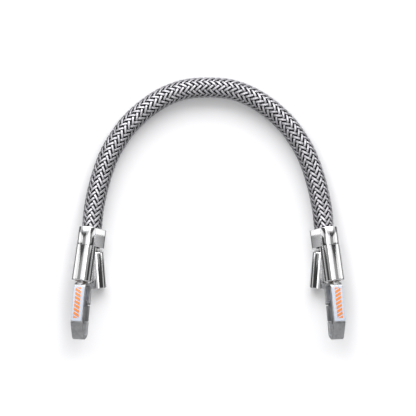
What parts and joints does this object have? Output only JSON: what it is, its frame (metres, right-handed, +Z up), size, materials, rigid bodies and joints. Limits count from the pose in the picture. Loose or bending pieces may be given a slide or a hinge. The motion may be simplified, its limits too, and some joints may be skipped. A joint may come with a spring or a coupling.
{
  "type": "braided dogbone power lead with gated hooks",
  "caption": "Short dogbone power lead: a woven metal sleeve bent in an arch, with polished two-barrel ends and swivelling gated hooks.",
  "frame": {"origin": "on the ground under the middle of the two metal ends (the cable left out)", "axes": "+X to the right-hand end (contact pins), +Y towards the crown of the arch, +Z up"},
  "size_m": [0.285, 0.2761, 0.0405],
  "materials": {
    "woven_wire": "woven tubular braid of bright wire, two over and two under",
    "polished_fitting": "polished plate with fine handling marks",
    "hook_steel": "satin strip with bright rolled edges",
    "gate_steel": "satin, brushed along its length",
    "bright_steel": "turned",
    "dark_hardware": "black oxide",
    "spring_steel": "tempered blue",
    "bronze_bush": "sintered bronze, oiled",
    "brass_contact": "turned brass",
    "white_label": "enamelled plate with plain orange hatching",
    "black_insert": "moulded thermoset",
    "jacket_rubber": "extruded rubber jacket",
    "rubber_grommet": "moulded rubber",
    "line_insulation": "extruded insulation",
    "neutral_insulation": "extruded insulation",
    "earth_insulation": "extruded insulation"
  },
  "bodies": {
    "frame": {"braid_sleeve": "woven_wire", "cable_jacket": "jacket_rubber", "conductor_line": "line_insulation", "conductor_neutral": "neutral_insulation", "conductor_earth": "earth_insulation", "left_collar": "polished_fitting", "left_y_body": "polished_fitting", "left_cable_grommet": "rubber_grommet", "left_collar_screws": "dark_hardware", "left_swivel_bush": "bronze_bush", "left_thrust_washer": "bright_steel", "left_insert_screw": "dark_hardware", "left_socket_insert": "black_insert", "left_contact_sleeves": "brass_contact", "right_collar": "polished_fitting", "right_y_body": "polished_fitting", "right_cable_grommet": "rubber_grommet", "right_collar_screws": "dark_hardware", "right_swivel_bush": "bronze_bush", "right_thrust_washer": "bright_steel", "right_insert_screw": "dark_hardware", "right_pin_insert": "black_insert", "right_contact_pins": "brass_contact"},
    "left_hook_body": {"left_retaining_ring": "dark_hardware", "left_hook": "hook_steel", "left_label_plate": "white_label", "left_gate_pin": "bright_steel", "left_gate_spring": "spring_steel"},
    "right_hook_body": {"right_retaining_ring": "dark_hardware", "right_hook": "hook_steel", "right_label_plate": "white_label", "right_gate_pin": "bright_steel", "right_gate_spring": "spring_steel"},
    "left_gate_body": {"left_gate": "gate_steel"},
    "right_gate_body": {"right_gate": "gate_steel"}
  },
  "joints": [
    {"name": "left_hook_swivel", "type": "hinge", "parent": "frame", "child": "left_hook_body", "pos_m": [-0.13167, 0.00086, 0.02738], "axis": [0.1277, 0.9864, -0.1039], "continuous": true},
    {"name": "left_gate_hinge", "type": "hinge", "parent": "left_hook_body", "child": "left_gate_body", "pos_m": [-0.12913, -0.02105, 0.01958], "axis": [-0.9414, 0.0334, -0.3356], "range_deg": [0, 30], "stiffness_Nm_per_rad": 0.12, "springref_deg": -17.19, "deforming": ["left_gate_spring"]},
    {"name": "right_hook_swivel", "type": "hinge", "parent": "frame", "child": "right_hook_body", "pos_m": [0.13167, 0.00086, 0.02738], "axis": [0.1277, -0.9864, 0.1039], "continuous": true},
    {"name": "right_gate_hinge", "type": "hinge", "parent": "right_hook_body", "child": "right_gate_body", "pos_m": [0.12913, -0.02105, 0.01958], "axis": [-0.9414, -0.0334, 0.3356], "range_deg": [0, 30], "stiffness_Nm_per_rad": 0.12, "springref_deg": -17.19, "deforming": ["right_gate_spring"]}
  ]
}
